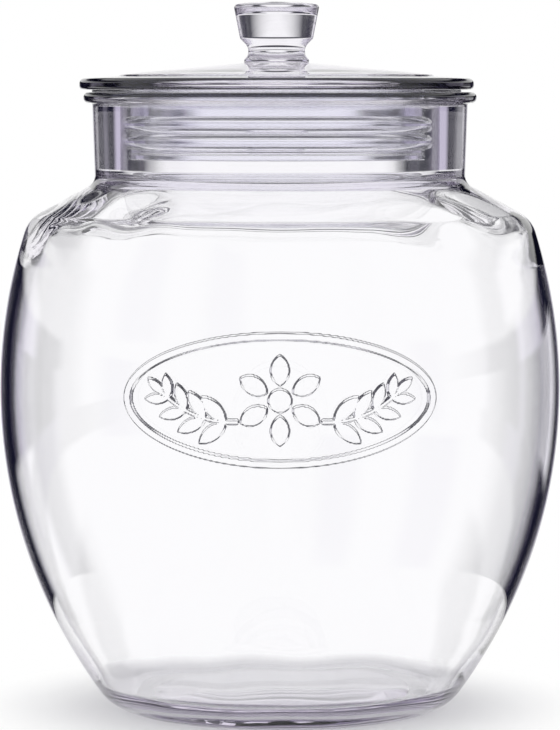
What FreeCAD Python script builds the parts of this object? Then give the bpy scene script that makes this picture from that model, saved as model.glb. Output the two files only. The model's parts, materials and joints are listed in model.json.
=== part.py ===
"""Glass storage jar with a push-in glass lid and a clear silicone seal.

Units are millimetres and +Z is up. The origin is the centre of the foot, on
the surface that the jar stands on, and the raised emblem faces -Y. The jar,
the seal and the lid are three pieces: the lid rests in the seal, and the seal
rests on the rim.
"""
import FreeCAD, Part

import math
import os

from FreeCAD import Placement, Rotation, Vector

# ---- jar, outside
belly_radius = 98.0        # the widest part of the barrel
belly_height = 112.0       # how high that widest part is
barrel_curve = 180.0       # radius of the barrel's upright curve
heel_round = 15.0          # rounding from the foot up into the barrel
corner_round = 11.7        # rounding from the barrel into the shoulder
shoulder_slope = 28.4      # degrees that the shoulder falls from level
neck_foot_radius = 64.6    # outside of the neck, where the shoulder's slope meets it
neck_foot_height = 184.3
neck_height = 31.5         # from there to the flat top of the rim
neck_flare = 0.9           # how much wider the neck is under the rim bead
cove_round = 4.5           # hollow between shoulder and neck
bead_overhang = 3.1        # rim bead beyond the neck
bead_depth = 3.8
bead_round = 1.7
bead_cove = 0.8            # hollow under the bead

# ---- jar, inside
wall = 3.2                 # barrel and shoulder
floor_thickness = 6.5
inner_heel_round = 13.0
neck_wall = 8.8            # at the foot of the neck; its inside is straight
bore_foot_round = 7.0      # edge where the neck opens into the shoulder
rim_inner_round = 2.4

# ---- foot
foot_ring_width = 6.5      # flat ring that the jar stands on
push_up = 3.0              # how far the underside is domed up inside that ring

# ---- lid
lid_overhang = 0.2         # lid beyond the rim bead
lid_edge = 3.8             # thickness at the edge
lid_top_edge_round = 1.8
lid_bottom_edge_round = 1.2
lid_offset = -1.2          # along X: the lid sits a little to one side in its soft seal
panel_inset = 13.7         # lid's edge to the foot of the small step round its raised middle
panel_step_width = 0.6
panel_step = 0.45
panel_step_round = 0.4
panel_foot_rise = 0.9      # foot of that step above the lid's edge
panel_crest_inset = 6.0    # plug's outside to where the middle's slope eases
panel_crest_rise = 2.5
dome_rise = 6.1            # middle of the lid above its edge
lid_plate = 4.6            # thickness of the domed middle
plug_space = 5.8           # bore to the ring under the lid that carries the seal
plug_wall = 5.0
plug_depth = 21.5
plug_end_round = 1.5
plug_foot_round = 3.0      # hollow between the plug's ring and the lid, inside
panel_crest_round = 20.0   # how softly the middle's slope eases
small_round = 0.5          # where the plug and the knob meet the lid, and the seal's edges

# ---- knob, with heights above the middle of the lid
knob_foot_radius = 11.3
knob_foot_height = 0.55
knob_foot_round = 0.3
knob_waist_radius = 8.45   # where the waist's two slopes meet, inside its rounding
knob_waist_height = 3.4
knob_waist_round = 3.5
knob_cup_radius = 12.75
knob_cup_height = 7.75
knob_cup_round = 1.5
knob_top_radius = 15.05
knob_height = 20.7
knob_edge_round = 1.3
knob_dome = 1.1            # how far the top is domed
knob_dome_flat = 7.0       # radius of the dome's level middle before it is rounded
knob_dome_round = 40.0
knob_sink = 0.5            # how far the knob's foot runs down into the lid

# ---- seal
flange_thickness = 0.9     # between lid and rim
flange_inset = 4.3         # lid's edge to the flange's edge
sleeve_thickness = 1.7     # round the plug
fit_gap = 0.15             # sleeve to plug, and ribs to bore
rib_depths = (11.7, 17.6)  # middle of each rib below the flange
rib_height = 5.2
rib_round = 2.3
lip_thickness = 2.2        # turned in under the end of the plug
lip_inward = 3.0           # how much of the plug's end it covers
lip_play = 0.15            # under the plug's end

# ---- emblem, raised on the front of the barrel
emblem_height = 116.0      # its centre above the foot
emblem_relief = 0.8
emblem_root = 1.0          # how deep the raised shapes start inside the glass
oval_half_width = 51.0
oval_half_height = 22.0
oval_band = 2.4
flower_disc_radius = 3.8
petal_count = 6
petal_length = 10.0
petal_width = 6.0
petal_gap = 1.0            # between the disc and the petals
stem_width = 1.4
stem_start = (14.0, -7.0)  # across and up from the emblem's centre
stem_end = (38.5, 2.5)
stem_sag = 2.8
leaf_pairs = 4
leaf_lean = 42.0           # degrees between a leaf and its stem
leaf_longest = 12.0
leaf_shortest = 7.5
leaf_slimness = 0.42       # width over length

# ---- what follows from those
rim_height = neck_foot_height + neck_height
neck_top_radius = neck_foot_radius + neck_flare
bead_radius = neck_top_radius + bead_overhang
bore_radius = neck_foot_radius - neck_wall
lid_radius = bead_radius + lid_overhang
lid_bottom = rim_height + flange_thickness
lid_edge_top = lid_bottom + lid_edge
lid_middle = lid_edge_top + dome_rise
plug_radius = bore_radius - plug_space
panel_outer_radius = lid_radius - panel_inset
panel_crest_radius = plug_radius - panel_crest_inset
flange_radius = lid_radius - flange_inset


# ---- outlines: points are (radius, height), and a corner adds its rounding
def at(point):
    return Vector(point[0], 0, point[1])


def line(start, end):
    return Part.LineSegment(at(start), at(end)).toShape()


def polar(centre, radius, angle):
    return (centre[0] + radius * math.cos(angle), centre[1] + radius * math.sin(angle))


def arc(centre, radius, start, end):
    """An arc as a spline edge, which revolves cleanly with its centre on either side of the axis."""
    points = [at(polar(centre, radius, angle)) for angle in (start, (start + end) / 2, end)]
    return Part.Arc(*points).toBSpline().toShape()


def towards(start, end):
    """The unit step from start to end, and the distance."""
    across, up = end[0] - start[0], end[1] - start[1]
    length = math.hypot(across, up)
    return (across / length, up / length), length


def rounded(corners):
    """Edges along corners (radius, height, rounding); the two ends have no rounding."""
    edges = []
    here = corners[0][:2]
    for before, corner, after in zip(corners, corners[1:], corners[2:]):
        point, rounding = corner[:2], corner[2]
        back, _ = towards(point, before[:2])
        on, _ = towards(point, after[:2])
        half_angle = math.acos(back[0] * on[0] + back[1] * on[1]) / 2
        reach = rounding / math.tan(half_angle)
        arc_start = (point[0] + back[0] * reach, point[1] + back[1] * reach)
        arc_end = (point[0] + on[0] * reach, point[1] + on[1] * reach)
        bisector, _ = towards((0, 0), (back[0] + on[0], back[1] + on[1]))
        depth = rounding / math.sin(half_angle) - rounding
        arc_middle = (point[0] + bisector[0] * depth, point[1] + bisector[1] * depth)
        edges.append(line(here, arc_start))
        edges.append(Part.Arc(at(arc_start), at(arc_middle), at(arc_end)).toShape())
        here = arc_end
    edges.append(line(here, corners[-1][:2]))
    return edges


def turned(edges, axis_x=0.0):
    """The solid made by turning a closed outline round an upright axis."""
    face = Part.Face(Part.Wire(edges))
    solid = face.revolve(Vector(0, 0, 0), Vector(0, 0, 1), 360)
    solid.Placement = Placement(Vector(axis_x, 0, 0), Rotation())
    return solid


def fused(shapes):
    """One solid of shapes that overlap."""
    whole = shapes[0].multiFuse(shapes[1:]).removeSplitter()
    return whole.Solids[0]


# ---- the barrel: heel, upright curve and corner, tangent to each other
slope = math.radians(shoulder_slope)
shoulder_down = (math.cos(slope), -math.sin(slope))
shoulder_normal = (math.sin(slope), math.cos(slope))
barrel_centre = (belly_radius - barrel_curve, belly_height)


def corner_centre():
    """Centre of the rounding that touches both the shoulder's slope and the barrel's curve."""
    start = (
        neck_foot_radius - corner_round * shoulder_normal[0] - barrel_centre[0],
        neck_foot_height - corner_round * shoulder_normal[1] - barrel_centre[1],
    )
    along = start[0] * shoulder_down[0] + start[1] * shoulder_down[1]
    apart = start[0] ** 2 + start[1] ** 2 - (barrel_curve - corner_round) ** 2
    step = math.sqrt(along ** 2 - apart) - along
    return (
        barrel_centre[0] + start[0] + step * shoulder_down[0],
        barrel_centre[1] + start[1] + step * shoulder_down[1],
    )


def barrel_arcs(inset, floor, heel):
    """The arcs (centre, radius, start, end) from the floor up to the shoulder's slope."""
    curve = barrel_curve - inset
    rise = floor + heel - belly_height
    heel_centre = (barrel_centre[0] + math.sqrt((curve - heel) ** 2 - rise ** 2), floor + heel)
    corner = corner_centre()
    heel_end = math.atan2(rise, heel_centre[0] - barrel_centre[0])
    corner_start = math.atan2(corner[1] - barrel_centre[1], corner[0] - barrel_centre[0])
    return [
        (heel_centre, heel, -math.pi / 2, heel_end),
        (barrel_centre, curve, heel_end, corner_start),
        (corner, corner_round - inset, corner_start, math.pi / 2 - slope),
    ]


def jar_solid():
    outer = barrel_arcs(0, 0, heel_round)
    inner = barrel_arcs(wall, floor_thickness, inner_heel_round)
    foot_edge = outer[0][0][0]
    ring_edge = foot_edge - foot_ring_width
    push_up_curve = (ring_edge ** 2 + push_up ** 2) / (2 * push_up)
    push_up_centre = (0, push_up - push_up_curve)
    push_up_end = math.atan2(-push_up_centre[1], ring_edge)
    shoulder_top = polar(outer[2][0], outer[2][1], outer[2][3])
    inner_shoulder_top = polar(inner[2][0], inner[2][1], inner[2][3])
    bead_foot = rim_height - bead_depth
    run_in = inner_shoulder_top[0] - bore_radius
    bore_foot = inner_shoulder_top[1] + run_in * math.tan(slope)
    neck = rounded([
        shoulder_top,
        (neck_foot_radius, neck_foot_height, cove_round),
        (neck_top_radius, bead_foot, bead_cove),
        (bead_radius, bead_foot, bead_round),
        (bead_radius, rim_height, bead_round),
        (bore_radius, rim_height, rim_inner_round),
        (bore_radius, bore_foot, bore_foot_round),
        inner_shoulder_top,
    ])
    outline = [arc(push_up_centre, push_up_curve, math.pi / 2, push_up_end)]
    outline.append(line((ring_edge, 0), (foot_edge, 0)))
    outline += [arc(*piece) for piece in outer]
    outline += neck
    outline += [arc(centre, radius, end, start) for centre, radius, start, end in reversed(inner)]
    outline.append(line((inner[0][0][0], floor_thickness), (0, floor_thickness)))
    outline.append(line((0, floor_thickness), (0, push_up)))
    return turned(outline)


# ---- the emblem: flat faces in X and Z about the emblem's centre
def emblem_point(point):
    return Vector(point[0], 0, emblem_height + point[1])


def leaf(root, angle, length, width):
    """A pointed leaf: two arcs from its root to its tip."""
    along = (math.cos(angle), math.sin(angle))
    tip = (root[0] + length * along[0], root[1] + length * along[1])
    middle = ((root[0] + tip[0]) / 2, (root[1] + tip[1]) / 2)
    sides = []
    for side in (1, -1):
        bulge = (middle[0] - side * width / 2 * along[1], middle[1] + side * width / 2 * along[0])
        ends = (root, tip) if side == 1 else (tip, root)
        points = [emblem_point(point) for point in (ends[0], bulge, ends[1])]
        sides.append(Part.Arc(*points).toShape())
    return Part.Face(Part.Wire(sides))


def disc(radius):
    circle = Part.Circle(emblem_point((0, 0)), Vector(0, -1, 0), radius)
    return Part.Face(Part.Wire([circle.toShape()]))


def oval(half_width, half_height):
    ellipse = Part.Ellipse(
        emblem_point((half_width, 0)), emblem_point((0, half_height)), emblem_point((0, 0))
    )
    return Part.Face(Part.Wire([ellipse.toShape()]))


def flower():
    petals = [
        leaf(
            polar((0, 0), flower_disc_radius + petal_gap, angle),
            angle,
            petal_length,
            petal_width,
        )
        for angle in (math.pi / 2 + math.tau * i / petal_count for i in range(petal_count))
    ]
    return [disc(flower_disc_radius)] + petals


def stem_circle():
    """Centre, radius and end angles of the right-hand stem, which sags between its ends."""
    step, span = towards(stem_start, stem_end)
    radius = (span ** 2 / 4 + stem_sag ** 2) / (2 * stem_sag)
    middle = ((stem_start[0] + stem_end[0]) / 2, (stem_start[1] + stem_end[1]) / 2)
    lift = radius - stem_sag
    centre = (middle[0] - step[1] * lift, middle[1] + step[0] * lift)
    angles = [math.atan2(end[1] - centre[1], end[0] - centre[0]) for end in (stem_start, stem_end)]
    return centre, radius, angles[0], angles[1]


def spray():
    """The right-hand spray: a stem, pairs of leaves that get smaller, and a leaf at its tip."""
    centre, radius, start, end = stem_circle()
    sides = []
    for offset, first, last in ((-stem_width / 2, start, end), (stem_width / 2, end, start)):
        points = [
            emblem_point(polar(centre, radius - offset, angle))
            for angle in (first, (first + last) / 2, last)
        ]
        sides.append((points, Part.Arc(*points).toShape()))
    caps = [
        Part.LineSegment(sides[0][0][2], sides[1][0][0]).toShape(),
        Part.LineSegment(sides[1][0][2], sides[0][0][0]).toShape(),
    ]
    faces = [Part.Face(Part.Wire([sides[0][1], caps[0], sides[1][1], caps[1]]))]
    lean = math.radians(leaf_lean)
    for i in range(leaf_pairs):
        share = (i + 0.5) / leaf_pairs
        angle = start + (end - start) * share
        length = leaf_longest + (leaf_shortest - leaf_longest) * share
        root = polar(centre, radius, angle)
        for side in (lean, -lean):
            faces.append(leaf(root, angle + math.pi / 2 + side, length, length * leaf_slimness))
    tip_angle = end - stem_width / radius
    tip_root = polar(centre, radius, tip_angle)
    tip_direction = tip_angle + math.pi / 2
    faces.append(leaf(tip_root, tip_direction, leaf_shortest, leaf_shortest * leaf_slimness))
    return faces


def raised_band():
    """A turned band that holds the glass between the emblem's root and its raised face."""
    reach = math.asin((oval_half_height + 1) / barrel_curve)
    middle = math.asin((emblem_height - belly_height) / barrel_curve)
    low, high = middle - reach, middle + reach
    inside, outside = barrel_curve - emblem_root, barrel_curve + emblem_relief
    return turned([
        arc(barrel_centre, outside, low, high),
        line(polar(barrel_centre, outside, high), polar(barrel_centre, inside, high)),
        arc(barrel_centre, inside, high, low),
        line(polar(barrel_centre, inside, low), polar(barrel_centre, outside, low)),
    ])


def emblem_solids():
    ring = oval(oval_half_width, oval_half_height).cut(
        oval(oval_half_width - oval_band, oval_half_height - oval_band)
    )
    right = spray()
    left = [face.mirror(Vector(0, 0, 0), Vector(1, 0, 0)) for face in right]
    forward = Vector(0, -belly_radius - 2 * emblem_relief, 0)
    band = raised_band()
    solids = []
    for face in [ring] + flower() + right + left:
        solids += band.common(face.extrude(forward)).Solids
    return solids


def jar():
    return fused([jar_solid()] + emblem_solids())


# ---- the lid, with its knob above and its plug below
def lid():
    knob_top = lid_middle + knob_height
    panel_foot = lid_edge_top + panel_foot_rise
    panel_crest = lid_edge_top + panel_crest_rise
    plug_inner = plug_radius - plug_wall
    plug_end = lid_bottom - plug_depth
    ceiling_edge = panel_crest - lid_plate
    outline = rounded([
        (0, knob_top),
        (knob_dome_flat, knob_top, knob_dome_round),
        (knob_top_radius, knob_top - knob_dome, knob_edge_round),
        (knob_cup_radius, lid_middle + knob_cup_height, knob_cup_round),
        (knob_waist_radius, lid_middle + knob_waist_height, knob_waist_round),
        (knob_foot_radius, lid_middle + knob_foot_height, knob_foot_round),
        (knob_foot_radius, lid_middle - knob_sink, small_round),
        (panel_crest_radius, panel_crest, panel_crest_round),
        (panel_outer_radius - panel_step_width, panel_foot + panel_step, panel_step_round),
        (panel_outer_radius, panel_foot, panel_step_round),
        (lid_radius, lid_edge_top, lid_top_edge_round),
        (lid_radius, lid_bottom, lid_bottom_edge_round),
        (plug_radius, lid_bottom, small_round),
        (plug_radius, plug_end, plug_end_round),
        (plug_inner, plug_end, plug_end_round),
        (plug_inner, ceiling_edge, plug_foot_round),
        (0, lid_middle - lid_plate),
    ])
    outline.append(line((0, lid_middle - lid_plate), (0, knob_top)))
    return turned(outline, lid_offset)


# ---- the seal: a flange on the rim, a sleeve with a lip round the plug, and ribs in the bore
def seal():
    inner = plug_radius + fit_gap
    outer = inner + sleeve_thickness
    lip_top = lid_bottom - plug_depth - lip_play
    lip_bottom = lip_top - lip_thickness
    lip_inner = plug_radius - lip_inward
    start = (inner, lid_bottom - 2 * flange_thickness)
    sleeve = rounded([
        start,
        (inner, lid_bottom, small_round),
        (flange_radius, lid_bottom, flange_thickness / 3),
        (flange_radius, rim_height, flange_thickness / 3),
        (outer, rim_height, small_round),
        (outer, lip_bottom, small_round),
        (lip_inner, lip_bottom, small_round),
        (lip_inner, lip_top, small_round),
        (inner, lip_top, small_round),
        start,
    ])
    shapes = [turned(sleeve, lid_offset)]
    rib_outer = bore_radius - fit_gap
    rib_inner = inner - 2 * abs(lid_offset)
    around_plug = Part.makeCylinder(inner, plug_depth, Vector(lid_offset, 0, lip_top))
    for depth in rib_depths:
        low = lid_bottom - depth - rib_height / 2
        high = low + rib_height
        rib = turned(rounded([
            (rib_inner, low),
            (rib_outer, low, rib_round),
            (rib_outer, high, rib_round),
            (rib_inner, high),
        ]) + [line((rib_inner, high), (rib_inner, low))])
        shapes.append(rib.cut(around_plug))
    return fused(shapes)


def main():
    os.makedirs("parts", exist_ok=True)
    for name, shape in (("jar", jar()), ("lid", lid()), ("seal", seal())):
        shape.exportStep("parts/" + name + ".step")
        box = shape.BoundBox
        print(
            name, shape.ShapeType, shape.isValid(), len(shape.Solids), len(shape.Faces),
            "cm3 %.1f" % (shape.Volume / 1000),
            "x %.2f..%.2f z %.2f..%.2f" % (box.XMin, box.XMax, box.ZMin, box.ZMax),
        )


main()
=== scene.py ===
"""A glass storage jar with its lid and seal on a pale floor, in soft studio light.

Sizes are in millimetres until a mesh is made, and then in metres. The jar, the
lid and the seal are turned shapes, built as closed meshes with their own
normals, so that the glass bends light as smoothly as the real surfaces do.
"""
import json
import math

import bpy
import numpy as np
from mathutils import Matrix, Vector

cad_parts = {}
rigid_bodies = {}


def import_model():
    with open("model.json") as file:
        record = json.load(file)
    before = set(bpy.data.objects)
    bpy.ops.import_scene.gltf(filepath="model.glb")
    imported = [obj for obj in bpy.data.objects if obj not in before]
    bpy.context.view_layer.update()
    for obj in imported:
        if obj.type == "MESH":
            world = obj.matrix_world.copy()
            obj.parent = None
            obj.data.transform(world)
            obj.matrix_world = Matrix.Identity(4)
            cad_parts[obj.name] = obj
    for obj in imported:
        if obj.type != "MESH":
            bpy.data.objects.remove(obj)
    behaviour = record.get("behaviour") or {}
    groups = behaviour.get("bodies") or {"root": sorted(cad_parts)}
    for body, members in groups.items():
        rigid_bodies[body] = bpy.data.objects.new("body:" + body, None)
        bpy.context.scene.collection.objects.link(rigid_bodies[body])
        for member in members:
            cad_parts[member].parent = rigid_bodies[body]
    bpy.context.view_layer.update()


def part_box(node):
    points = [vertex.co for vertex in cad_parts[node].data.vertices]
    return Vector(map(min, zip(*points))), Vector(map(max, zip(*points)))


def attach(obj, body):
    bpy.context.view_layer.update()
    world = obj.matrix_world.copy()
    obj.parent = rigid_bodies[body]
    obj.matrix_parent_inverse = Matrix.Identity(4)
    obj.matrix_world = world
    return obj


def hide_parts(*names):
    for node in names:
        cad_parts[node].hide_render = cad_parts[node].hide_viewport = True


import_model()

MM = 0.001
jar_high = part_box("jar")[1] / MM
lid_low, lid_high = (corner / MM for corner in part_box("lid"))
seal_low, seal_high = (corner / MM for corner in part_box("seal"))

# ---- sizes, as the CAD model has them
belly_radius = 98.0
belly_height = 112.0
barrel_curve = 180.0
heel_round = 15.0
corner_round = 11.7
slope = math.radians(28.4)
neck_foot = (64.6, 184.3)
neck_top_radius = 65.5
cove_round = 4.5
rim_height = jar_high[2]
bead_radius = 68.6
bead_depth = 3.8
bead_round = 1.7
bead_cove = 0.8
wall = 3.2
floor_thickness = 6.5
inner_heel_round = 13.0
bore_radius = 55.8
bore_foot_round = 7.0
rim_inner_round = 2.4
foot_ring_width = 6.5
push_up = 3.0

lid_axis = (lid_low[0] + lid_high[0]) / 2
lid_radius = (lid_high[0] - lid_low[0]) / 2
lid_edge = 3.8
lid_top_edge_round = 1.8
lid_bottom_edge_round = 1.2
panel_outer_radius = 55.1   # foot of the small step round the lid's raised middle
panel_step_width = 0.6
panel_step = 0.45
panel_step_round = 0.4
panel_foot_rise = 0.9
panel_crest_radius = 44.0   # where the slope of the lid's middle eases
panel_crest_rise = 2.5
panel_crest_round = 20.0
dome_rise = 6.1
lid_plate = 4.6
plug_depth = 21.5
plug_radius = 50.0
plug_wall = 5.0
plug_end_round = 1.5
plug_foot_round = 3.0
small_round = 0.5
plug_end = lid_low[2]
lid_bottom = plug_end + plug_depth
lid_edge_top = lid_bottom + lid_edge
lid_middle = lid_edge_top + dome_rise

# heights of the knob are above the lid's middle
knob_top = lid_high[2]
knob_foot_radius = 11.3
knob_foot_height = 0.55
knob_foot_round = 0.3
knob_waist_radius = 8.45
knob_waist_height = 3.4
knob_waist_round = 3.5
knob_cup_radius = 12.75
knob_cup_height = 7.75
knob_cup_round = 1.5
knob_top_radius = 15.05
knob_edge_round = 1.3
knob_dome = 1.1
knob_dome_flat = 7.0
knob_dome_round = 40.0
knob_sink = 0.5

flange_radius = (seal_high[0] - seal_low[0]) / 2
flange_round = 0.3
# a hair of air on both sides of the flange: glass that shares a face with it renders black
flange_air = 0.04
sleeve_thickness = 1.7
sleeve_seam = 1.8           # the outline starts and ends this far below the lid
fit_gap = 0.15              # sleeve to plug
rib_gap = 0.2               # ribs to bore
rib_depths = (11.7, 17.6)
rib_height = 5.2
rib_width = 1.2
rib_round = 2.3
rib_top_root_round = 0.4
rib_bottom_root_round = 0.2
lip_bottom = seal_low[2]
lip_inward = 3.0

emblem_height = 116.0
emblem_relief = 0.8
emblem_bevel = 0.9         # width of the sloping side of the raised shapes
oval_half_width = 51.0
oval_half_height = 22.0
oval_band = 2.4
flower_disc_radius = 3.8
petal_count = 6
petal_length = 10.0
petal_width = 6.0
petal_gap = 1.0
stem_width = 1.4
stem_start = (14.0, -7.0)
stem_end = (38.5, 2.5)
stem_sag = 2.8
leaf_pairs = 4
leaf_lean = math.radians(42.0)
leaf_longest = 12.0
leaf_shortest = 7.5
leaf_slimness = 0.42

# ---- how finely the meshes are divided
ROW_STEP = 2.4
ARC_STEP = math.radians(9)
JAR_COLUMNS = 240
LID_COLUMNS = 240
SEAL_COLUMNS = 160
WINDOW_LOW = emblem_height - 24
WINDOW_HIGH = emblem_height + 24
WINDOW_ROWS = 20
WINDOW_COLUMNS = 44
FINE_ROWS = 6
FINE_COLUMNS = 7
SAME_PLACE = 1e-4

# ---- waves on the jar's inside: heights and distances over which they grow or fade
WAVE_SEED = 5
WAVE_COUNT = 12
WAVE_LENGTHS = (22, 60)
WAVE_DEPTH = 2.4
SHOULDER_WAVES_GROW = (155.0, 167.0)
SHOULDER_WAVES_FADE = (183.0, 175.0)
FRONT_WAVES = 0.25          # how much of them is left at the front and back of the shoulder
SIDE_WAVES_GROW = (30.0, 50.0)
HEEL_WAVES_GROW = (38.0, 13.0)
HEEL_WAVES_RADIUS = (20.0, 50.0)
HEEL_WAVES = 0.3


# ---- outlines: rows of (radius, height, normal's radius part, normal's height part)
def polar(centre, radius, angle):
    return (centre[0] + radius * math.cos(angle), centre[1] + radius * math.sin(angle))


def towards(start, end):
    across, up = end[0] - start[0], end[1] - start[1]
    length = math.hypot(across, up)
    return (across / length, up / length), length


def arc_rows(centre, radius, start, end, steps=None):
    span = abs(end - start)
    steps = steps or max(2, math.ceil(span / ARC_STEP), math.ceil(radius * span / ROW_STEP))
    side = 1 if end > start else -1
    rows = []
    for angle in np.linspace(start, end, steps + 1):
        rows.append((*polar(centre, radius, angle), side * math.cos(angle), side * math.sin(angle)))
    return rows


def line_rows(start, end):
    (across, up), length = towards(start, end)
    steps = max(1, math.ceil(length / ROW_STEP))
    return [
        (start[0] + across * d, start[1] + up * d, up, -across)
        for d in np.linspace(0, length, steps + 1)
    ]


def rounded_rows(corners):
    """Rows along corners (radius, height, rounding), as the CAD outline has them."""
    rows = []
    here = corners[0][:2]
    for before, corner, after in zip(corners, corners[1:], corners[2:]):
        point, rounding = corner[:2], corner[2]
        back, _ = towards(point, before[:2])
        on, _ = towards(point, after[:2])
        half_angle = math.acos(back[0] * on[0] + back[1] * on[1]) / 2
        reach = rounding / math.tan(half_angle)
        arc_start = (point[0] + back[0] * reach, point[1] + back[1] * reach)
        bisector, _ = towards((0, 0), (back[0] + on[0], back[1] + on[1]))
        depth = rounding / math.sin(half_angle)
        centre = (point[0] + bisector[0] * depth, point[1] + bisector[1] * depth)
        start = math.atan2(arc_start[1] - centre[1], arc_start[0] - centre[0])
        turn = math.pi - 2 * half_angle
        leftwards = back[0] * on[1] - back[1] * on[0] < 0
        end = start + turn if leftwards else start - turn
        rows += line_rows(here, arc_start) + arc_rows(centre, rounding, start, end)
        here = polar(centre, rounding, end)
    return rows + line_rows(here, corners[-1][:2])


def joined(rows):
    """Rows with each repeated place kept once, and its normal shared where two meet."""
    kept = [rows[0]]
    for row in rows[1:]:
        last = kept[-1]
        if math.dist(row[:2], last[:2]) < SAME_PLACE:
            across, up = last[2] + row[2], last[3] + row[3]
            length = math.hypot(across, up)
            kept[-1] = (last[0], last[1], across / length, up / length)
        else:
            kept.append(row)
    return kept


# ---- the jar's outline
barrel_centre = (belly_radius - barrel_curve, belly_height)


def corner_centre():
    down = (math.cos(slope), -math.sin(slope))
    start = (
        neck_foot[0] - corner_round * math.sin(slope) - barrel_centre[0],
        neck_foot[1] - corner_round * math.cos(slope) - barrel_centre[1],
    )
    along = start[0] * down[0] + start[1] * down[1]
    apart = start[0] ** 2 + start[1] ** 2 - (barrel_curve - corner_round) ** 2
    step = math.sqrt(along ** 2 - apart) - along
    return (
        barrel_centre[0] + start[0] + step * down[0],
        barrel_centre[1] + start[1] + step * down[1],
    )


def barrel_arcs(inset, floor, heel):
    curve = barrel_curve - inset
    rise = floor + heel - belly_height
    heel_centre = (barrel_centre[0] + math.sqrt((curve - heel) ** 2 - rise ** 2), floor + heel)
    corner = corner_centre()
    heel_end = math.atan2(rise, heel_centre[0] - barrel_centre[0])
    corner_start = math.atan2(corner[1] - barrel_centre[1], corner[0] - barrel_centre[0])
    return [
        (heel_centre, heel, -math.pi / 2, heel_end),
        (barrel_centre, curve, heel_end, corner_start),
        (corner, corner_round - inset, corner_start, math.pi / 2 - slope),
    ]


def jar_rows():
    """The jar's rows, and the first and last of the rows that cross the emblem."""
    heel, barrel, corner = barrel_arcs(0, 0, heel_round)
    inner = barrel_arcs(wall, floor_thickness, inner_heel_round)
    foot_edge = heel[0][0]
    ring_edge = foot_edge - foot_ring_width
    push_up_curve = (ring_edge ** 2 + push_up ** 2) / (2 * push_up)
    push_up_centre = (0, push_up - push_up_curve)
    push_up_end = math.atan2(-push_up_centre[1], ring_edge)
    low = math.asin((WINDOW_LOW - belly_height) / barrel_curve)
    high = math.asin((WINDOW_HIGH - belly_height) / barrel_curve)
    shoulder_top = polar(*corner[:2], corner[3])
    inner_shoulder_top = polar(*inner[2][:2], inner[2][3])
    run_in = inner_shoulder_top[0] - bore_radius
    bead_foot = rim_height - bead_depth
    underside = arc_rows(push_up_centre, push_up_curve, math.pi / 2, push_up_end)
    rows = [(r, z, abs(across), -abs(up)) for r, z, across, up in underside]
    rows += line_rows((ring_edge, 0), (foot_edge, 0))
    rows += arc_rows(*heel) + arc_rows(barrel_centre, barrel_curve, barrel[2], low)
    rows = joined(rows)
    first = len(rows) - 1
    rows += arc_rows(barrel_centre, barrel_curve, low, high, WINDOW_ROWS)
    rows = joined(rows)
    last = len(rows) - 1
    rows += arc_rows(barrel_centre, barrel_curve, high, barrel[3]) + arc_rows(*corner)
    rows += rounded_rows([
        shoulder_top,
        (*neck_foot, cove_round),
        (neck_top_radius, bead_foot, bead_cove),
        (bead_radius, bead_foot, bead_round),
        (bead_radius, rim_height, bead_round),
        (bore_radius, rim_height, rim_inner_round),
        (bore_radius, inner_shoulder_top[1] + run_in * math.tan(slope), bore_foot_round),
        inner_shoulder_top,
    ])
    for centre, radius, start, end in reversed(inner):
        rows += arc_rows(centre, radius, end, start)
    rows += line_rows((inner[0][0][0], floor_thickness), (0, floor_thickness))
    return joined(rows), first, last


# ---- the emblem: distances in millimetres from the edge of the raised shapes, negative inside
def leaf_distance(u, v, root, angle, length, width):
    across, up = math.cos(angle), math.sin(angle)
    along = (u - root[0]) * across + (v - root[1]) * up - length / 2
    beside = -(u - root[0]) * up + (v - root[1]) * across
    radius = (length ** 2 + width ** 2) / (4 * width)
    offset = radius - width / 2
    return np.maximum(np.hypot(along, beside + offset), np.hypot(along, beside - offset)) - radius


def oval_distance(u, v):
    half_width = oval_half_width - oval_band / 2
    half_height = oval_half_height - oval_band / 2
    scale = np.hypot(u / half_width, v / half_height) + 1e-9
    steepness = np.hypot(u / half_width ** 2, v / half_height ** 2) / scale
    return np.abs((scale - 1) / (steepness + 1e-9)) - oval_band / 2


def flower_distance(u, v):
    distance = np.hypot(u, v) - flower_disc_radius
    for i in range(petal_count):
        angle = math.pi / 2 + math.tau * i / petal_count
        root = polar((0, 0), flower_disc_radius + petal_gap, angle)
        distance = np.minimum(distance, leaf_distance(u, v, root, angle, petal_length, petal_width))
    return distance


def spray_distance(u, v):
    step, span = towards(stem_start, stem_end)
    radius = (span ** 2 / 4 + stem_sag ** 2) / (2 * stem_sag)
    middle = ((stem_start[0] + stem_end[0]) / 2, (stem_start[1] + stem_end[1]) / 2)
    lift = radius - stem_sag
    centre = (middle[0] - step[1] * lift, middle[1] + step[0] * lift)
    start, end = (math.atan2(p[1] - centre[1], p[0] - centre[0]) for p in (stem_start, stem_end))
    angle = np.arctan2(v - centre[1], u - centre[0])
    nearest = np.clip(angle, start, end)
    from_stem = np.hypot(
        u - centre[0] - radius * np.cos(nearest), v - centre[1] - radius * np.sin(nearest)
    )
    distance = from_stem - stem_width / 2
    for i in range(leaf_pairs):
        share = (i + 0.5) / leaf_pairs
        at = start + (end - start) * share
        length = leaf_longest + (leaf_shortest - leaf_longest) * share
        root = polar(centre, radius, at)
        for lean in (leaf_lean, -leaf_lean):
            direction = at + math.pi / 2 + lean
            leaf = leaf_distance(u, v, root, direction, length, length * leaf_slimness)
            distance = np.minimum(distance, leaf)
    tip = end - stem_width / radius
    root = polar(centre, radius, tip)
    width = leaf_shortest * leaf_slimness
    return np.minimum(
        distance, leaf_distance(u, v, root, tip + math.pi / 2, leaf_shortest, width)
    )


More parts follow.
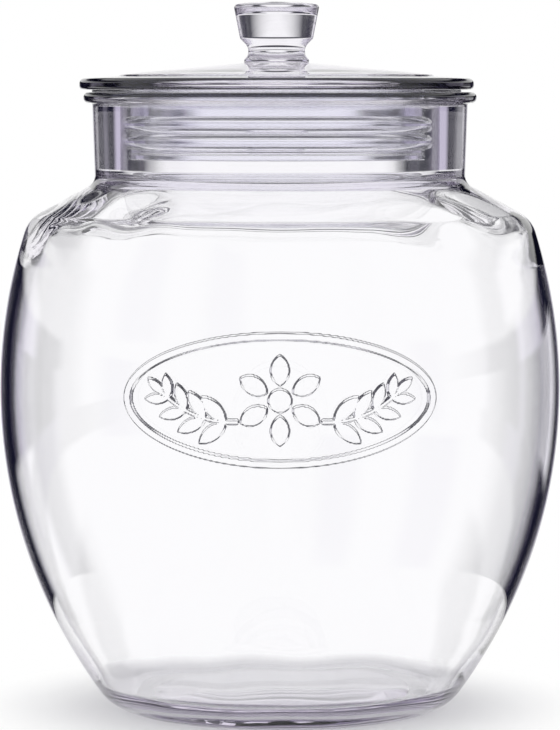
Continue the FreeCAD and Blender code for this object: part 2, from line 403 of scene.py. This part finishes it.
def relief(points):
    """How far the emblem lifts the surface at points, in millimetres."""
    u, v = points[..., 0], points[..., 2] - emblem_height
    distance = np.minimum(oval_distance(u, v), flower_distance(u, v))
    distance = np.minimum(distance, spray_distance(np.abs(u), v))
    share = np.clip(0.5 - distance / emblem_bevel, 0, 1)
    return emblem_relief * share * share * (3 - 2 * share)


# ---- uneven glass: slow waves on a surface
def risen(values, start, end):
    """0 before start, 1 past end, and in proportion between them."""
    return np.clip((values - start) / (end - start), 0, 1)


def ripples(seed, count, lengths, depth, squash=(1, 1, 1)):
    """count waves (direction and rate, phase, height) with lengths in millimetres."""
    random = np.random.default_rng(seed)
    waves = []
    for _ in range(count):
        direction = random.normal(size=3) * squash
        direction /= np.linalg.norm(direction)
        length = random.uniform(*lengths)
        waves.append((direction * math.tau / length, random.uniform(0, math.tau), depth / count))
    return waves


def ripple_height(waves, points):
    total = np.zeros(points.shape[:-1])
    for rate, phase, height in waves:
        total += height * np.sin(points @ rate + phase)
    return total


def slope_of(height, points, step=0.05):
    """The gradient of a height over space."""
    parts = []
    for axis in np.eye(3) * step:
        parts.append((height(points + axis) - height(points - axis)) / (2 * step))
    return np.stack(parts, axis=-1)


def lifted(points, normals, height):
    """Points moved along their normals by a height over space, and the new normals."""
    rise = slope_of(height, points)
    rise -= np.sum(rise * normals, axis=-1, keepdims=True) * normals
    turned_to = normals - rise
    turned_to /= np.linalg.norm(turned_to, axis=-1, keepdims=True)
    return points + height(points)[..., None] * normals, turned_to


# ---- meshes
def ring_points(rows, angles):
    """Points and normals of rows at angles round the axis: arrays (rows, angles, 3)."""
    rows = np.array(rows)
    around = np.stack([np.cos(angles), np.sin(angles)], axis=-1)
    points = np.zeros((len(rows), len(angles), 3))
    normals = np.zeros_like(points)
    for array, across, up in ((points, rows[:, 0], rows[:, 1]), (normals, rows[:, 2], rows[:, 3])):
        array[..., :2] = across[:, None, None] * around[None]
        array[..., 2] = up[:, None]
    return points, normals


def column_angles(columns):
    """Angles round the axis; the middle column faces -Y."""
    return math.pi / 2 + math.tau * np.arange(columns) / columns


def make_mesh(name, points, normals, faces, axis_x=0.0):
    mesh = bpy.data.meshes.new(name)
    points = np.array(points) + (axis_x, 0, 0)
    mesh.from_pydata((points * MM).tolist(), [], faces)
    mesh.shade_smooth()
    mesh.normals_split_custom_set_from_vertices(np.array(normals).tolist())
    mesh.validate()
    piece = bpy.data.objects.new(name, mesh)
    bpy.context.scene.collection.objects.link(piece)
    return piece


class Turned:
    """A closed turned mesh that grows from rows and columns; the first and last rows are poles."""

    def __init__(self, rows, columns):
        self.rows, self.columns = rows, columns
        self.points, self.normals = ring_points(rows, column_angles(columns))
        self.ids = np.arange(len(rows) * columns).reshape(len(rows), columns)

    def faces(self, skip=lambda i, j: False, between=lambda a, b: []):
        """Quads between rows. skip leaves out a cell; between adds corners along an edge."""
        found = []
        for i in range(1, len(self.rows) - 2):
            for j in range(self.columns):
                if skip(i, j):
                    continue
                on = (j + 1) % self.columns
                corners = [(i, j), (i, on), (i + 1, on), (i + 1, j)]
                face = []
                for a, b in zip(corners, corners[1:] + corners[:1]):
                    face.append(int(self.ids[a]))
                    face += between(a, b)
                found.append(face)
        for i, pole in ((1, 0), (len(self.rows) - 2, len(self.rows) - 1)):
            for j in range(self.columns):
                edge = [int(self.ids[i, j]), int(self.ids[i, (j + 1) % self.columns])]
                found.append([int(self.ids[pole, 0])] + (edge[::-1] if pole == 0 else edge))
        return found


def packed(points, normals, faces):
    """Only the points that faces use, renumbered."""
    used = sorted({corner for face in faces for corner in face})
    place = {old: new for new, old in enumerate(used)}
    return points[used], normals[used], [[place[corner] for corner in face] for face in faces]


def plain_turned(name, rows, columns, axis_x):
    shape = Turned(rows, columns)
    points, normals = shape.points.reshape(-1, 3), shape.normals.reshape(-1, 3)
    return make_mesh(name, *packed(points, normals, shape.faces()), axis_x)


def emblem_window(first, last):
    """The finely divided part of the barrel: points, normals and the column where it starts."""
    angles = column_angles(JAR_COLUMNS)
    left = (JAR_COLUMNS - WINDOW_COLUMNS) // 2
    fine_angles = np.linspace(
        angles[left], angles[left + WINDOW_COLUMNS], WINDOW_COLUMNS * FINE_COLUMNS + 1
    )
    low = math.asin((WINDOW_LOW - belly_height) / barrel_curve)
    high = math.asin((WINDOW_HIGH - belly_height) / barrel_curve)
    rows = arc_rows(barrel_centre, barrel_curve, low, high, WINDOW_ROWS * FINE_ROWS)
    points, normals = ring_points(rows, fine_angles)
    return (*lifted(points, normals, relief), left)


def inside_waves():
    """Height of the waves on the moulded inside, which is least even in the shoulder and heel."""
    waves = ripples(WAVE_SEED, WAVE_COUNT, WAVE_LENGTHS, WAVE_DEPTH)

    def height(points):
        up, from_axis = points[..., 2], np.hypot(points[..., 0], points[..., 1])
        shoulder = risen(up, *SHOULDER_WAVES_GROW) * risen(up, *SHOULDER_WAVES_FADE)
        at_sides = risen(np.abs(points[..., 0]), *SIDE_WAVES_GROW)
        shoulder *= FRONT_WAVES + (1 - FRONT_WAVES) * at_sides
        heel = risen(up, *HEEL_WAVES_GROW) * risen(from_axis, *HEEL_WAVES_RADIUS)
        return ripple_height(waves, points) * (shoulder + HEEL_WAVES * heel)

    return height


def make_jar():
    rows, first, last = jar_rows()
    shape = Turned(rows, JAR_COLUMNS)
    inside = next(i for i, row in enumerate(rows) if i > last and row[0] < bore_radius + 0.01)
    shape.points[inside:], shape.normals[inside:] = lifted(
        shape.points[inside:], shape.normals[inside:], inside_waves()
    )
    fine_points, fine_normals, left = emblem_window(first, last)
    high, wide = fine_points.shape[:2]
    ids = np.full((high, wide), -1)
    ids[::FINE_ROWS, ::FINE_COLUMNS] = shape.ids[
        first:last + 1, left:left + WINDOW_COLUMNS + 1
    ]
    new = ids < 0
    start = shape.ids.size
    ids[new] = np.arange(start, start + new.sum())
    points = np.concatenate([shape.points.reshape(-1, 3), fine_points[new]])
    normals = np.concatenate([shape.normals.reshape(-1, 3), fine_normals[new]])
    shared = ids[::FINE_ROWS, ::FINE_COLUMNS]
    points[shared] = fine_points[::FINE_ROWS, ::FINE_COLUMNS]
    normals[shared] = fine_normals[::FINE_ROWS, ::FINE_COLUMNS]
    right = left + WINDOW_COLUMNS

    def skip(i, j):
        return first <= i < last and left <= j < right

    def between(a, b):
        (i, j), (k, m) = a, b
        if i == k and i in (first, last) and left <= min(j, m) and max(j, m) <= right:
            row = 0 if i == first else high - 1
            line = ids[row, (min(j, m) - left) * FINE_COLUMNS + 1:(max(j, m) - left) * FINE_COLUMNS]
            return line.tolist() if m > j else line[::-1].tolist()
        if j == m and j in (left, right) and first <= min(i, k) and max(i, k) <= last:
            column = 0 if j == left else wide - 1
            line = ids[
                (min(i, k) - first) * FINE_ROWS + 1:(max(i, k) - first) * FINE_ROWS, column
            ]
            return line.tolist() if k > i else line[::-1].tolist()
        return []

    faces = shape.faces(skip, between)
    a, b, c, d = ids[:-1, :-1], ids[:-1, 1:], ids[1:, 1:], ids[1:, :-1]
    faces += np.stack([a, b, c, d], axis=-1).reshape(-1, 4).tolist()
    return make_mesh("jar_glass", *packed(points, normals, faces))


def lid_rows():
    panel_foot = lid_edge_top + panel_foot_rise
    panel_crest = lid_edge_top + panel_crest_rise
    plug_inner = plug_radius - plug_wall
    rows = rounded_rows([
        (0, knob_top),
        (knob_dome_flat, knob_top, knob_dome_round),
        (knob_top_radius, knob_top - knob_dome, knob_edge_round),
        (knob_cup_radius, lid_middle + knob_cup_height, knob_cup_round),
        (knob_waist_radius, lid_middle + knob_waist_height, knob_waist_round),
        (knob_foot_radius, lid_middle + knob_foot_height, knob_foot_round),
        (knob_foot_radius, lid_middle - knob_sink, small_round),
        (panel_crest_radius, panel_crest, panel_crest_round),
        (panel_outer_radius - panel_step_width, panel_foot + panel_step, panel_step_round),
        (panel_outer_radius, panel_foot, panel_step_round),
        (lid_radius, lid_edge_top, lid_top_edge_round),
        (lid_radius, lid_bottom, lid_bottom_edge_round),
        (plug_radius, lid_bottom, small_round),
        (plug_radius, plug_end, plug_end_round),
        (plug_inner, plug_end, plug_end_round),
        (plug_inner, panel_crest - lid_plate, plug_foot_round),
        (0, lid_middle - lid_plate),
    ])
    return joined(rows[::-1])


def seal_rows():
    inner = plug_radius + fit_gap
    outer = inner + sleeve_thickness
    rib_edge = bore_radius - rib_gap - rib_width
    lip_top = plug_end - fit_gap
    lip_inner = plug_radius - lip_inward
    flange_top, flange_bottom = lid_bottom - flange_air, rim_height + flange_air
    start = (inner, lid_bottom - sleeve_seam)
    corners = [
        start,
        (inner, flange_top, small_round),
        (flange_radius, flange_top, flange_round),
        (flange_radius, flange_bottom, flange_round),
        (outer, flange_bottom, small_round),
    ]
    for depth in rib_depths:
        top = lid_bottom - depth + rib_height / 2
        corners += [
            (outer, top, rib_top_root_round),
            (rib_edge, top, rib_round),
            (rib_edge, top - rib_height, rib_round),
            (outer, top - rib_height, rib_bottom_root_round),
        ]
    corners += [
        (outer, lip_bottom, small_round),
        (lip_inner, lip_bottom, small_round),
        (lip_inner, lip_top, small_round),
        (inner, lip_top, small_round),
        start,
    ]
    return joined(rounded_rows(corners)[::-1])


def facing_out(rows):
    """Rows with the normals turned to the other side, for an outline that runs the other way."""
    return [(r, z, -across, -up) for r, z, across, up in rows]


def closed_ring(name, rows, columns, axis_x):
    """A turned ring whose outline ends where it starts."""
    if math.dist(rows[0][:2], rows[-1][:2]) < SAME_PLACE:
        rows = rows[:-1]
    points, normals = ring_points(rows, column_angles(columns))
    count = len(rows)
    ids = np.arange(count * columns).reshape(count, columns)
    faces = []
    for i in range(count):
        for j in range(columns):
            k, on = (i + 1) % count, (j + 1) % columns
            faces.append([int(ids[i, j]), int(ids[i, on]), int(ids[k, on]), int(ids[k, j])])
    return make_mesh(name, points.reshape(-1, 3), normals.reshape(-1, 3), faces, axis_x)


# ---- shader nodes
def node(tree, kind, operation=None, *values):
    made = tree.nodes.new(kind)
    if operation:
        made.operation = operation
    for socket, value in zip(made.inputs, values):
        if isinstance(value, bpy.types.NodeSocket):
            tree.links.new(value, socket)
        elif value is not None:
            socket.default_value = value
    return made


def math_node(tree, operation, *values):
    return node(tree, "ShaderNodeMath", operation, *values).outputs[0]


def color_ramp(tree, value, stops):
    """A ramp whose stops are (position, colour)."""
    made = node(tree, "ShaderNodeValToRGB", None, value)
    ramp = made.color_ramp
    ramp.elements[0].position, ramp.elements[0].color = stops[0]
    ramp.elements[1].position, ramp.elements[1].color = stops[-1]
    for position, color in stops[1:-1]:
        ramp.elements.new(position).color = color
    return made.outputs["Color"]


def share_between(tree, value, low, high):
    """0 where value is under low, 1 where it is over high."""
    return node(tree, "ShaderNodeMapRange", None, value, low, high).outputs["Result"]


def mixed_color(tree, share, first, second):
    made = tree.nodes.new("ShaderNodeMix")
    made.data_type = "RGBA"
    factor, color_a, color_b = made.inputs[0], made.inputs[6], made.inputs[7]
    for socket, value in ((factor, share), (color_a, first), (color_b, second)):
        if isinstance(value, bpy.types.NodeSocket):
            tree.links.new(value, socket)
        else:
            socket.default_value = value
    return made.outputs[2]


# ---- materials
CLEAR = (0.995, 0.995, 1.0, 1)
# painted shade: colours that darken the outer top of the jar's bead, the lid's edge, and upright
# walls seen edge on
RIM_PAINTED_SHADE = (0.004, 0.004, 0.008, 1)
LID_EDGE_PAINTED_SHADE = (0.002, 0.002, 0.004, 1)
OUTLINE_PAINTED_SHADE = (0.06, 0.05, 0.09, 1)
THICK_TINT = (0.72, 0.66, 0.80, 1)
THICK_DENSITY = 9.0
SHADOW_TINT = (0.95, 0.95, 0.96, 1)
GLASS_IOR = 1.51
SILICONE_TINT = (0.93, 0.93, 0.97, 1)
SILICONE_IOR = 1.41
RIM_BLEND = 0.6             # half the width of the soft edge of the rim's painted shade, outwards
RIM_BLEND_UP = 0.3          # and upwards
FROM_ANY_SIDE = (-0.1, 0.0)
UPRIGHT = 0.75              # a normal that rises less than this belongs to an upright wall


def new_material(name):
    material = bpy.data.materials.new(name)
    material.use_nodes = True
    material.node_tree.nodes.clear()
    return material, material.node_tree.nodes, material.node_tree.links


def painted_rim_share(tree, place, rim_radius, rim_height):
    """1 beyond rim_radius from the axis and above rim_height, in millimetres, else 0: where the
    rim's painted shade goes.
    """
    parts = node(tree, "ShaderNodeSeparateXYZ", None, place).outputs
    across = math_node(tree, "POWER", parts["X"], 2.0)
    away = math_node(tree, "POWER", parts["Y"], 2.0)
    radius = math_node(tree, "SQRT", math_node(tree, "ADD", across, away))
    beyond = share_between(
        tree, radius, (rim_radius - RIM_BLEND) * MM, (rim_radius + RIM_BLEND) * MM
    )
    above = share_between(
        tree, parts["Z"], (rim_height - RIM_BLEND_UP) * MM, (rim_height + RIM_BLEND_UP) * MM
    )
    return math_node(tree, "MULTIPLY", beyond, above)


def glass_color_and_painted_shade(tree, place, rim_painted_shade, rim, rim_facing, outline_facing):
    """Clear, with painted shade on the rim and on upright walls where light comes in at a flat
    angle.

    The facing values are where the painted shade starts and is full: 0 is straight on, 1 is edge
    on.
    """
    turned_away = node(tree, "ShaderNodeLayerWeight", None, 0.5).outputs["Facing"]
    geometry = tree.nodes.new("ShaderNodeNewGeometry").outputs
    from_outside = math_node(tree, "SUBTRACT", 1.0, geometry["Backfacing"])
    # painted shade on the rim: dark colour by place and by how edge on it is seen, from outside
    # only
    off_square = share_between(tree, turned_away, *rim_facing)
    painted_rim_shade = math_node(tree, "MULTIPLY", painted_rim_share(tree, place, *rim), off_square)
    painted_rim_shade = math_node(tree, "MULTIPLY", painted_rim_shade, from_outside)
    # painted shade on upright walls seen edge on, from outside only: dark outlines by angle
    normal = node(tree, "ShaderNodeSeparateXYZ", None, geometry["Normal"]).outputs
    rise = math_node(tree, "ABSOLUTE", normal["Z"])
    upright = math_node(tree, "LESS_THAN", rise, UPRIGHT)
    edge_on = share_between(tree, turned_away, *outline_facing)
    outline = math_node(tree, "MULTIPLY", upright, edge_on)
    outline = math_node(tree, "MULTIPLY", outline, from_outside)
    color = mixed_color(tree, outline, CLEAR, OUTLINE_PAINTED_SHADE)
    return mixed_color(tree, painted_rim_shade, color, rim_painted_shade)


def faint_unevenness(tree, place):
    noise = node(tree, "ShaderNodeTexNoise", None, place)
    noise.inputs["Scale"].default_value = 60.0
    noise.inputs["Detail"].default_value = 2.0
    bump = tree.nodes.new("ShaderNodeBump")
    bump.inputs["Strength"].default_value = 0.02
    bump.inputs["Distance"].default_value = 0.001
    tree.links.new(noise.outputs["Fac"], bump.inputs["Height"])
    return bump.outputs["Normal"]


def glass(name, rim_painted_shade, rim, rim_facing, outline_facing):
    """Clear glass that absorbs a little where it is thick and casts a light shadow, with painted
    shade in its colour on the rim and on upright walls seen edge on.

    rim is (radius, height) in millimetres: the rim is what lies beyond and above them.
    """
    material, nodes, links = new_material(name)
    tree = material.node_tree
    place = nodes.new("ShaderNodeTexCoord").outputs["Object"]
    shader = nodes.new("ShaderNodeBsdfPrincipled")
    shader.inputs["Roughness"].default_value = 0.0
    shader.inputs["IOR"].default_value = GLASS_IOR
    shader.inputs["Transmission Weight"].default_value = 1.0
    color = glass_color_and_painted_shade(tree, place, rim_painted_shade, rim, rim_facing, outline_facing)
    links.new(color, shader.inputs["Base Color"])
    links.new(faint_unevenness(tree, place), shader.inputs["Normal"])
    clear = nodes.new("ShaderNodeBsdfTransparent")
    clear.inputs["Color"].default_value = SHADOW_TINT
    ray = nodes.new("ShaderNodeLightPath")
    mix = nodes.new("ShaderNodeMixShader")
    out = nodes.new("ShaderNodeOutputMaterial")
    links.new(ray.outputs["Is Shadow Ray"], mix.inputs["Fac"])
    links.new(shader.outputs["BSDF"], mix.inputs[1])
    links.new(clear.outputs["BSDF"], mix.inputs[2])
    links.new(mix.outputs["Shader"], out.inputs["Surface"])
    depth = nodes.new("ShaderNodeVolumeAbsorption")
    depth.inputs["Color"].default_value = THICK_TINT
    depth.inputs["Density"].default_value = THICK_DENSITY
    links.new(depth.outputs["Volume"], out.inputs["Volume"])
    return material


def silicone():
    material, nodes, links = new_material("clear_silicone")
    shader = nodes.new("ShaderNodeBsdfPrincipled")
    shader.inputs["Base Color"].default_value = SILICONE_TINT
    shader.inputs["Roughness"].default_value = 0.06
    shader.inputs["IOR"].default_value = SILICONE_IOR
    shader.inputs["Transmission Weight"].default_value = 1.0
    out = nodes.new("ShaderNodeOutputMaterial")
    links.new(shader.outputs["BSDF"], out.inputs["Surface"])
    return material


# ---- the stage
# in metres from the centre: the paper fades into white from FADE_START to FADE_END
FLOOR_RADIUS = 0.16
FADE_START = 0.062
FADE_END = 0.115
FLOOR_CORNERS = 64
PAPER = (0.93, 0.93, 0.935, 1)


def floor_material():
    material, nodes, links = new_material("floor_paper")
    tree = material.node_tree
    ray = nodes.new("ShaderNodeLightPath")
    paper = nodes.new("ShaderNodeBsdfDiffuse")
    paper.inputs["Color"].default_value = PAPER
    white = nodes.new("ShaderNodeEmission")
    white.inputs["Strength"].default_value = 1.0
    place = nodes.new("ShaderNodeTexCoord")
    far = node(tree, "ShaderNodeVectorMath", "LENGTH", place.outputs["Object"]).outputs["Value"]
    fade = nodes.new("ShaderNodeMapRange")
    fade.interpolation_type = "SMOOTHSTEP"
    fade.inputs["From Min"].default_value = FADE_START
    fade.inputs["From Max"].default_value = FADE_END
    links.new(far, fade.inputs["Value"])
    seen = math_node(tree, "ADD", ray.outputs["Is Camera Ray"], ray.outputs["Is Transmission Ray"])
    seen = math_node(tree, "ADD", seen, ray.outputs["Is Glossy Ray"])
    share = math_node(tree, "MULTIPLY", seen, fade.outputs["Result"])
    share = math_node(tree, "MINIMUM", share, 1.0)
    mix = nodes.new("ShaderNodeMixShader")
    out = nodes.new("ShaderNodeOutputMaterial")
    links.new(share, mix.inputs["Fac"])
    links.new(paper.outputs["BSDF"], mix.inputs[1])
    links.new(white.outputs["Emission"], mix.inputs[2])
    links.new(mix.outputs["Shader"], out.inputs["Surface"])
    return material


def make_floor():
    mesh = bpy.data.meshes.new("floor")
    angles = [math.tau * i / FLOOR_CORNERS for i in range(FLOOR_CORNERS)]
    corners = [(*polar((0, 0), FLOOR_RADIUS, angle), 0) for angle in angles]
    mesh.from_pydata(corners, [], [range(FLOOR_CORNERS)])
    floor = bpy.data.objects.new("floor", mesh)
    bpy.context.scene.collection.objects.link(floor)
    mesh.materials.append(floor_material())


NAVY = (0.008, 0.008, 0.022, 1)
LAVENDER = (0.60, 0.56, 0.70, 1)
PALE = (0.86, 0.85, 0.90, 1)
WHITE = (1, 1, 1, 1)

# colours all round, in degrees from +Y towards +X: white backdrops straight behind the jar for
# level views from -Y, from +X and from between them, with dark cards beside the backdrops
LOW_CARDS = (
    (-180, WHITE), (-125, WHITE), (-115, LAVENDER), (-107, LAVENDER), (-99, WHITE), (-81, WHITE),
    (-77, PALE), (-73, NAVY), (-50, NAVY), (-47, LAVENDER), (-43, LAVENDER), (-40, NAVY),
    (-17, NAVY), (-13, PALE), (-9, WHITE), (9, WHITE), (13, PALE), (17, NAVY), (23, NAVY),
    (27, PALE), (38, PALE), (46, NAVY), (72, NAVY), (85, WHITE), (180, WHITE),
)
# level with the neck, whose thick sides bend the view furthest
RIM_CARDS = (
    (-180, WHITE), (-125, WHITE), (-115, LAVENDER), (-107, LAVENDER), (-99, WHITE), (-81, WHITE),
    (-76, NAVY), (-62, NAVY), (-57, LAVENDER), (-46, LAVENDER), (-41, NAVY), (-14, NAVY),
    (-9, WHITE), (8, WHITE), (11, NAVY), (38, NAVY), (43, LAVENDER), (60, LAVENDER), (66, NAVY),
    (80, NAVY), (110, WHITE), (180, WHITE),
)
# lower down, backdrops for cameras that look down from the corners
HIGH_VIEW_CARDS = (
    (-180, WHITE), (-80, WHITE), (-72, NAVY), (-60, NAVY), (-56, PALE), (-53, WHITE),
    (-37, WHITE), (-34, PALE), (-30, NAVY), (70, NAVY), (85, WHITE), (98, WHITE),
    (105, LAVENDER), (120, LAVENDER), (124, PALE), (127, WHITE), (143, WHITE), (146, PALE),
    (150, LAVENDER), (160, LAVENDER), (167, WHITE), (180, WHITE),
)
# the same with a white middle, for the straight way through the jar's lowest part
LEFT_STOPS = 9
MIDDLE_CARDS = (
    HIGH_VIEW_CARDS[:LEFT_STOPS]
    + ((-19, NAVY), (-12, WHITE), (12, WHITE), (19, NAVY))
    + HIGH_VIEW_CARDS[LEFT_STOPS:]
)
UPPER_CARDS = (
    (-180, WHITE), (-80, WHITE), (-70, NAVY), (60, NAVY), (75, WHITE), (180, WHITE),
)
ALL_WHITE = ((-180, WHITE), (180, WHITE))
# from the ground up: the sine of the elevation where each ring starts, its blend, its colours
RINGS = (
    (-1.0, 0.0, ALL_WHITE),
    (-0.65, 0.1, HIGH_VIEW_CARDS),
    (-0.23, 0.02, MIDDLE_CARDS),
    (-0.175, 0.01, LOW_CARDS),
    (0.0, 0.003, RIM_CARDS),
    (0.075, 0.008, ALL_WHITE),
    (0.24, 0.02, UPPER_CARDS),
    (0.45, 0.02, ALL_WHITE),
)


def ring_color(tree, azimuth, stops):
    """A ring's colour by azimuth, which runs from 0 at -180 degrees to 1 at 180."""
    return color_ramp(tree, azimuth, [(degrees / 360 + 0.5, color) for degrees, color in stops])


def studio_world():
    """White for the camera and the floor; glass sees the backdrops and the dark cards."""
    world = bpy.data.worlds.new("studio")
    bpy.context.scene.world = world
    world.use_nodes = True
    tree = world.node_tree
    tree.nodes.clear()
    direction = tree.nodes.new("ShaderNodeTexCoord").outputs["Generated"]
    parts = node(tree, "ShaderNodeSeparateXYZ", None, direction).outputs
    azimuth = math_node(tree, "ARCTAN2", parts["X"], parts["Y"])
    azimuth = math_node(tree, "MULTIPLY_ADD", azimuth, 1 / math.tau, 0.5)
    seen = ring_color(tree, azimuth, RINGS[0][2])
    for start, blend, stops in RINGS[1:]:
        above = share_between(tree, parts["Z"], start - blend, start + blend)
        seen = mixed_color(tree, above, seen, ring_color(tree, azimuth, stops))
    ray = tree.nodes.new("ShaderNodeLightPath").outputs
    straight = math_node(tree, "LESS_THAN", ray["Diffuse Depth"], 0.5)
    by_glass = math_node(tree, "ADD", ray["Is Transmission Ray"], ray["Is Glossy Ray"])
    by_glass = math_node(tree, "MINIMUM", by_glass, straight)
    shown = mixed_color(tree, by_glass, WHITE, seen)
    background = node(tree, "ShaderNodeBackground", None, shown)
    node(tree, "ShaderNodeOutputWorld", None, background.outputs[0])


# ---- the camera
CAMERA_PLACE = (0, -1.274, 0.2162)
CAMERA_DOWN = math.radians(4.305)
CAMERA_LENS = 234.0
SENSOR_WIDTH = 36.0


def add_camera():
    data = bpy.data.cameras.new("camera")
    data.sensor_fit = "HORIZONTAL"
    data.sensor_width = SENSOR_WIDTH
    data.lens = CAMERA_LENS
    camera = bpy.data.objects.new("camera", data)
    camera.location = CAMERA_PLACE
    camera.rotation_euler = (math.pi / 2 - CAMERA_DOWN, 0, 0)
    bpy.context.scene.collection.objects.link(camera)
    bpy.context.scene.camera = camera


def set_view():
    scene = bpy.context.scene
    scene.view_settings.view_transform = "Standard"
    scene.cycles.max_bounces = 32
    scene.cycles.transmission_bounces = 32
    scene.cycles.glossy_bounces = 16
    scene.cycles.use_denoising = True


def finish_piece(piece, material, node_name):
    piece.data.materials.append(material)
    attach(piece, "root")
    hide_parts(node_name)


add_camera()
set_view()
studio_world()
make_floor()

# the jar's rim is the outer top of its bead, and the lid's is its edge; both get painted shade in
# the glass's colour
jar_glass = glass(
    "jar_clear_glass", RIM_PAINTED_SHADE, (bead_radius - 1.2, rim_height - 1.9),
    rim_facing=FROM_ANY_SIDE, outline_facing=(0.70, 0.88),
)
lid_glass = glass(
    "lid_clear_glass", LID_EDGE_PAINTED_SHADE, (lid_radius - 2.5, lid_bottom),
    rim_facing=(0.1, 0.22), outline_facing=(0.75, 0.95),
)
jar = make_jar()
lid = plain_turned("lid_glass", facing_out(lid_rows()), LID_COLUMNS, lid_axis)
seal = closed_ring("seal_ring", facing_out(seal_rows()), SEAL_COLUMNS, lid_axis)
finish_piece(jar, jar_glass, "jar")
finish_piece(lid, lid_glass, "lid")
finish_piece(seal, silicone(), "seal")
